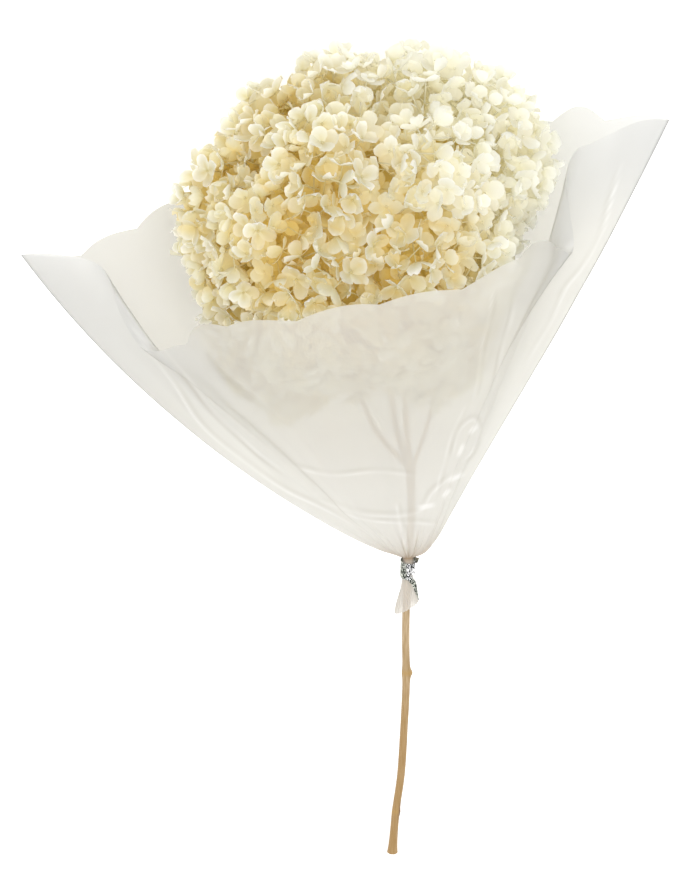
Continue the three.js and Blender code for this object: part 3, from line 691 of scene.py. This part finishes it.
def bridged(bulge, reachOver):
    # the film also spans the hollows between neighbouring groups, column by column
    turns = range(-reachOver, reachOver + 1)
    highest = np.max([np.roll(bulge, k, axis=0) for k in turns], axis=0)
    weights = np.cos(np.array(turns) / (reachOver + 1) * math.pi / 2) ** 2
    return sum(w * np.roll(highest, k, axis=0) for w, k in zip(weights / weights.sum(), turns))


def clearances(points, ways):
    # how far each point has to move along its way to clear the flower
    moved = np.zeros(len(points))
    for step, most, back in film["feelers"]:
        moved = np.maximum(moved - back, 0)
        for _ in range(most):
            covered = standing(points + ways * moved[:, None]) < film["overFlower"]
            if not covered.any():
                break
            moved += covered * step
    return moved


def rowShares():
    # the rows lie closer together near the tie
    return np.linspace(0, 1, film["rows"] + 1) ** film["crowding"]


def filmPoints():
    front, share, scallops, angle = filmSides()
    start = neckRing(angle, np.full(columns, film["neckRadius"]), film["neckHalf"])
    end = rimPoint(front, share)
    window = np.minimum(film["foldWindow"] / scallops, np.minimum(share, 1 - share))
    course = sum(rimPoint(front, share + k * window) for k in (-1, -0.5, 0, 0.5, 1)) / 5
    run = course - start
    scallop = np.abs(np.sin(np.pi * scallops * share)) - film["scallopMiddle"]
    fold = end - course + unit(run) * (film["scallopDepth"] * scallop)[:, None]
    bow = (np.outer(4 * np.exp(-(share / film["bowWidth"]) ** 2), film["bows"][0])
           + np.outer(4 * np.exp(-((1 - share) / film["bowWidth"]) ** 2), film["bows"][1]))
    outward = np.outer(np.cos(angle), neckAcross) + np.outer(np.sin(angle), neckUp)
    outward = unit(outward - run * ((outward * run).sum(axis=1) / (run ** 2).sum(axis=1))[:, None])

    def along(s):
        return start + run * s + fold * s ** film["foldFade"] + bow * s * (1 - s)

    steps = film["bulgeSteps"]
    tests = np.stack([along(i / steps) for i in range(steps + 1)], axis=1)
    heights = clearances(tests.reshape(-1, 3), np.repeat(outward, steps + 1, axis=0)).reshape(columns, -1)
    shares = rowShares()
    bulge = bridged(np.stack([tautBulge(h, shares) for h in heights]), film["bridged"])
    toRight = (1 + np.cos(angle)) / 2
    rows = np.stack([along(s) + outward * (bulge[:, i] + spreadAt(s, toRight) + gathers(s))[:, None]
                     for i, s in enumerate(shares)])
    lift, paintedLight = creases(rows, front)
    rows += outward * (lift * np.where(front, 1, -1))[..., None]
    rows[..., 2] = np.maximum(rows[..., 2], film["lowest"])
    return rows, paintedLight


def spreadAt(s, toRight):
    # above the tie the film spreads at once, more on the right
    wide, begin, fade = (np.interp(toRight, (0, 1), film[k]) for k in ("spread", "spreadStart", "spreadFade"))
    return wide * (1 - np.exp(-s / begin)) * np.exp(-s / fade)


def gathers(s):
    # the crumpled film just above the tie
    turn = np.arange(columns) * math.tau / columns
    height = film["gathers"] * (1 - np.exp(-s / film["gatherStart"])) * np.exp(-s / film["gatherFade"])
    return height * sum(high * np.sin(count * turn + begin + twist * s)
                        for high, count, begin, twist in film["gatherWaves"])


def creases(rows, front):
    # how far each crease lifts each point of its panel towards the viewer, and the painted highlight and
    # painted shade it gets there
    lean = math.radians(film["lean"])
    seen = np.stack([rows[..., 0], rows[..., 1] * math.cos(lean) - rows[..., 2] * math.sin(lean)], axis=-1)
    seen += film["wander"][0] * np.sin(seen[..., ::-1] / film["wander"][1:])  # not quite smooth
    lift = np.zeros(rows.shape[:2])
    paintedLight = np.zeros(rows.shape[:2])
    ended, least = film["creaseEnds"], film["markLeast"]
    for panel, height, leftReach, rightReach, corners in film["creases"]:
        line, run = smoothLine([(x, y, 0) for x, y in corners], 6)
        nearest = np.full(lift.shape, 1e9)
        share = np.zeros(lift.shape)
        side = np.zeros(lift.shape)
        for k in range(len(line) - 1):
            start, span = line[k, :2], line[k + 1, :2] - line[k, :2]
            arm = seen - start
            t = np.clip(arm @ span / (span @ span), 0, 1)
            far = np.linalg.norm(arm - t[..., None] * span, axis=-1)
            closer = far < nearest
            nearest = np.where(closer, far, nearest)
            share = np.where(closer, run[k] + t * (run[k + 1] - run[k]), share)
            side = np.where(closer, span[0] * arm[..., 1] - span[1] * arm[..., 0], side)
        far = nearest / np.where(side > 0, leftReach, rightReach)
        ends = smoothstep(0, ended, share) * smoothstep(1, 1 - ended, share)
        ends = ends * (front == (panel == "front"))
        lift += film["creaseHeight"] * height * ends * np.exp(1 - np.sqrt(1 + far ** 2))
        # painted highlight along a raised crease and painted shade along a sunk one, the other way round just
        # to its left; some stretches are marked more than others
        broken = least + (1 - least) * np.sin(film["markWaves"] * share + height) ** 2
        mark = np.exp(-(nearest / film["markWidth"]) ** 2)
        beside = np.exp(-((nearest - film["besideAt"]) / film["besideWidth"]) ** 2) * (side > 0)
        mark = mark - film["besideShare"] * beside
        paintedLight += (panel == "front") * ends * broken * np.sign(height) * mark
    for x, y, long, angle in film["glints"]:  # painted highlights where small facets of crumpled film catch the light
        turn = math.radians(angle)
        arm = seen - (x, y)
        along = arm @ (math.cos(turn), math.sin(turn))
        across = arm @ (-math.sin(turn), math.cos(turn))
        facet = np.exp(-(along / long) ** 4 - (across / film["glintWidth"]) ** 4)
        paintedLight += film["glintStrength"] * front * facet
    return lift, paintedLight


def tailPoints():
    angle = filmSides()[3]
    turn = np.arange(columns) * math.tau / columns
    radius, tailRadius = film["neckRadius"], film["tailRadius"]
    left, right = film["tailLength"]
    rows = []
    for t in np.linspace(1, 0, film["tailRows"], endpoint=False):
        flare = t * t * (3 - 2 * t)
        length = left + (right - left) * (1 + np.cos(angle)) / 2
        pleat = film["pleatDepth"] * flare * np.cos(turn * film["pleats"])
        flared = radius + (tailRadius - radius) * flare + pleat
        flat = 1 - (1 - film["tailFlatness"]) * flare
        rows.append(neckCentre - neckAhead * (film["neckHalf"] + length * t)[:, None]
                    + np.outer(flared * np.cos(angle), neckAcross)
                    + np.outer(flared * flat * np.sin(angle), neckUp))
    rows += [neckRing(angle, np.full(columns, radius), film["neckHalf"] * k) for k in (-1, -0.5, 0, 0.5)]
    return np.stack(rows)


def filmMaterial():
    # frosted cast polypropylene: a milky skin that lets light and blurred shapes through, with a soft gloss
    material, tree = newMaterial("frostedPolypropylene")
    # painted shade at the corners of the sleeve
    tint = mixColours(tree, readNumbers(tree, "paintedCornerShade"), fromHex("#E8E7E3"), fromHex("#DADAD9"))
    # painted highlights along the crease folds and on small facets, painted shade beside the folds, on the
    # left and on the back panel, and the stem shows through close to the tie
    tint = addMarks(tree, tint, [
        ("paintedLight", "#FFFFFF", 0.5), ("paintedShade", "#B5B0A2", 0.3), ("close", "#B3936A", 0.75)])
    skin = addNode(tree, "ShaderNodeBsdfPrincipled", {
        "Base Color": tint, "Roughness": 0.42, "IOR": 1.49, "Coat Weight": 0.6, "Coat Roughness": 0.12})
    glow = addNode(tree, "ShaderNodeBsdfTranslucent", {"Color": tint})
    milk = addNode(tree, "ShaderNodeMixShader", {0: 0.42, 1: skin.outputs[0], 2: glow.outputs[0]})
    haze = addNode(tree, "ShaderNodeBsdfRefraction", {
        "Color": fromHex("#FAFAF8"), "Roughness": 0.25, "IOR": 1.1})
    frosted = addNode(tree, "ShaderNodeMixShader", {0: 0.2, 1: milk.outputs[0], 2: haze.outputs[0]})
    letThrough(tree, frosted.outputs[0], "#FAFAF8", 0.6)
    return material


def makeFilm(filmRows, paintedLightRows):
    rows, around = filmRows.shape[:2]
    tail = rows - len(paintedLightRows)
    piece = newMesh("film_sleeve", filmRows.reshape(-1, 3), gridFaces(rows, around), filmMaterial())
    front, share = filmSides()[:2]
    x = filmRows[..., 0]
    s = np.append(np.zeros(tail), rowShares())[:, None]
    # painted darker shade at the corners, where the film lies doubled, starting less far down on the right
    corner = smoothstep(*film["corner"], np.abs(2 * share - 1))
    onset = np.where(x > film["rightOf"], film["greyFrom"][1], film["greyFrom"][0])
    storeNumbers(piece.data, "paintedCornerShade", (smoothstep(onset, film["greyFull"], s) * corner).ravel())
    paintedLight = np.vstack([np.zeros((tail, around)), paintedLightRows])
    # painted highlights along the creases and on the glints
    storeNumbers(piece.data, "paintedLight", np.maximum(paintedLight, 0).ravel())
    # painted shade beside the creases, on the back panel away from the tie and to the left, and on the front
    # panel near the tie and to the left
    back = (film["paintedShadeBack"] * ~front * smoothstep(*film["backAbove"], s)
            * smoothstep(*film["backLeftOf"], x))
    fore = (film["paintedShadeFront"] * front * smoothstep(*film["frontLeftOf"], x)
            * smoothstep(*film["frontBelow"], s))
    storeNumbers(piece.data, "paintedShade", (np.maximum(-paintedLight, 0) + back + fore).ravel())
    close = np.where(np.arange(rows) < tail, film["closeBelow"], np.exp(-s[:, 0] / film["closeFade"]))
    storeNumbers(piece.data, "close", np.repeat(close, around))
    finishPiece(piece, "sleeve")
    return piece


# Tie: a foil strip wound round the gathered neck

tie = {
    "width": 3.4, "thickness": 0.36, "radius": 4.4, "turns": 2.8, "pitch": 3.65, "steps": 40, "rings": 520,
    "upperEnd": [(5, 5.5, 1.7), (6, 6.4, 3.6)],
    "lowerEnd": [(3.6, -7.8, 5), (5.2, -12.4, 6.2), (7, -18.4, 6.4)],
    "torn": (1, 0.86), "tornWidth": 0.12, "tornCurve": 0.6,  # the lower end is torn to a point
    "section": [(-1, -0.4), (-0.85, -1), (0.85, -1), (1, -0.4), (1, 0.4), (0.85, 1), (-0.85, 1), (-1, 0.4)],
    # where the painted shade of the foil sets in: on the left, and towards the upper and the lower end
    "turnedLeft": (0.5, -2), "turnedUpper": (0.16, 0.1), "turnedLower": (0.83, 0.88),
}


def foilMaterial():
    # crinkled aluminium foil with glitter: bright flakes beside black ones, with painted shade where the
    # strip is turned away from the light, on its left and at its ends
    material, tree = newMaterial("glitterFoil")
    coordinates = addNode(tree, "ShaderNodeTexCoord")
    flakes = addNode(tree, "ShaderNodeTexVoronoi", {
        "Vector": coordinates.outputs["Object"], "Scale": 1500.0})  # flakes of 0.7 mm
    bright = addRamp(tree, flakes.outputs["Color"], [(0.38, "#26292A"), (0.44, "#FFFFFF")])
    darker = addRamp(tree, flakes.outputs["Color"], [(0.4, "#444A42"), (0.65, "#D4D7CC")])
    # painted shade on the left side and the ends of the strip
    flaked = mixColours(tree, readNumbers(tree, "turned"), bright, darker)
    bump = addNode(tree, "ShaderNodeBump", {
        "Height": flakes.outputs["Color"], "Strength": 0.9, "Distance": 0.0004})
    skin = addNode(tree, "ShaderNodeBsdfPrincipled", {
        "Base Color": flaked, "Metallic": 0.8, "Roughness": 0.22, "Normal": bump.outputs[0]})
    addNode(tree, "ShaderNodeOutputMaterial", {"Surface": skin.outputs[0]})
    return material


def nearNeck(right, along, up):
    return neckCentre + neckAcross * right + neckAhead * along + neckUp * up


def makeTie():
    turns = np.arange(0, tie["turns"], 1 / tie["steps"])
    path = [nearNeck(tie["radius"] * math.cos(-math.tau * t), tie["pitch"] * (tie["turns"] / 2 - t),
                     tie["radius"] * math.sin(-math.tau * t)) for t in turns]
    path = [nearNeck(*p) for p in reversed(tie["upperEnd"])] + path + [nearNeck(*p) for p in tie["lowerEnd"]]
    count = tie["rings"]
    shares = np.linspace(0, 1, count)
    centre = alongLine(smoothLine(path, 4), shares)
    ahead = unit(np.gradient(centre, axis=0))
    arm = centre - neckCentre
    arm -= np.outer(arm @ neckAhead, neckAhead)
    outward = unit(arm - ahead * (arm * ahead).sum(axis=1)[:, None])
    last = smoothstep(*tie["torn"], shares) ** tie["tornCurve"]
    across = tie["width"] / 2 * (tie["tornWidth"] + (1 - tie["tornWidth"]) * last)
    wide = np.cross(ahead, outward) * across[:, None]
    thick = outward * tie["thickness"] / 2
    rings = np.stack([centre + wide * w + thick * t for w, t in tie["section"]], axis=1)
    sides = len(tie["section"])
    faces = gridFaces(count, sides)
    faces += [tuple(reversed(range(sides))), tuple(range((count - 1) * sides, count * sides))]
    piece = newMesh("foil_tie", rings.reshape(-1, 3), faces, foilMaterial(), smooth=False)
    # painted shade on the left side and at both ends of the strip
    left = smoothstep(*tie["turnedLeft"], rings[..., 0] - neckCentre[0])
    tips = np.maximum(smoothstep(*tie["turnedUpper"], shares), smoothstep(*tie["turnedLower"], shares))
    storeNumbers(piece.data, "turned", np.maximum(left, tips[:, None]).ravel())
    finishPiece(piece, "twist_tie")


# Room: a white floor, soft lamps and the camera above

room = {
    "floor": "#F7F7F6", "glow": 0.4, "world": 0.72, "half": 6000, "drop": -0.3,
    "key": (0.35, 0.0, 2.8, 1.5, 40), "fill": (-1.2, 1.2, 2.0, 2.0, 11),  # place, size and power
    "distance": 12.0, "lean": 12.0, "scale": 0.6, "image": (700, 884), "height": 45.0, "sensor": 36,
}


def makeRoom():
    material, tree = newMaterial("opalLightTable")  # matt white acrylic, lit a little from below
    skin = addNode(tree, "ShaderNodeBsdfPrincipled", {
        "Base Color": fromHex(room["floor"]), "Roughness": 0.9, "Specular IOR Level": 0.1,
        "Emission Color": (1, 1, 1, 1), "Emission Strength": room["glow"]})
    addNode(tree, "ShaderNodeOutputMaterial", {"Surface": skin.outputs[0]})
    half = room["half"]
    corners = [(x, y, room["drop"]) for x, y in ((-half, -half), (half, -half), (half, half), (-half, half))]
    floor = newMesh("floor", np.array(corners, float), [(0, 1, 2, 3)], material)
    world = bpy.data.worlds.new("studio")
    world.use_nodes = True
    background = world.node_tree.nodes["Background"]
    background.inputs[0].default_value = (1, 1, 1, 1)
    background.inputs[1].default_value = room["world"]
    bpy.context.scene.world = world
    for name in ("key", "fill"):
        x, y, z, size, power = room[name]
        lamp = newObject(name, bpy.data.lights.new(name, "AREA"))
        lamp.data.size = size
        lamp.data.energy = power
        lamp.location = (x, y, z)
        lamp.rotation_mode = "QUATERNION"
        lamp.rotation_quaternion = lamp.location.to_track_quat("Z", "Y")
    bpy.context.scene.view_settings.view_transform = "Standard"


def makeCamera():
    # the photograph's frame is 700 by 884, at 0.6 mm a pixel, leaning 12 degrees past straight down
    lean = math.radians(room["lean"])
    target = np.array([0, room["height"] * math.tan(lean), room["height"]]) + shift
    camera = newObject("camera", bpy.data.cameras.new("camera"))
    camera.location = target * mm + np.array([0, math.sin(lean), math.cos(lean)]) * room["distance"]
    camera.rotation_euler = (-lean, 0, 0)
    camera.data.sensor_width = room["sensor"]
    camera.data.lens = room["sensor"] * room["distance"] / (room["image"][1] * room["scale"] * mm)
    camera.data.clip_end = 100
    bpy.context.scene.camera = camera


# Building: the drawing is moved so that its film lies where the CAD's sleeve does

upperRows, paintedLightRows = filmPoints()
filmRows = np.vstack([tailPoints(), upperRows])
drawn = filmRows.reshape(-1, 3)
shift = np.sum(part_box("sleeve"), axis=0) / 2 / mm - (drawn.min(axis=0) + drawn.max(axis=0)) / 2
shift[2] = 0  # the drawing's floor is the frame's floor
print("film drawn, shift", shift.round(2))
filmPiece = makeFilm(filmRows, paintedLightRows)
print("film made")
makeFlorets()
print("florets and core made")
makeStem()
print("stem made")
makeTie()
print("tie made")
makeRoom()
makeCamera()
print("room and camera set")
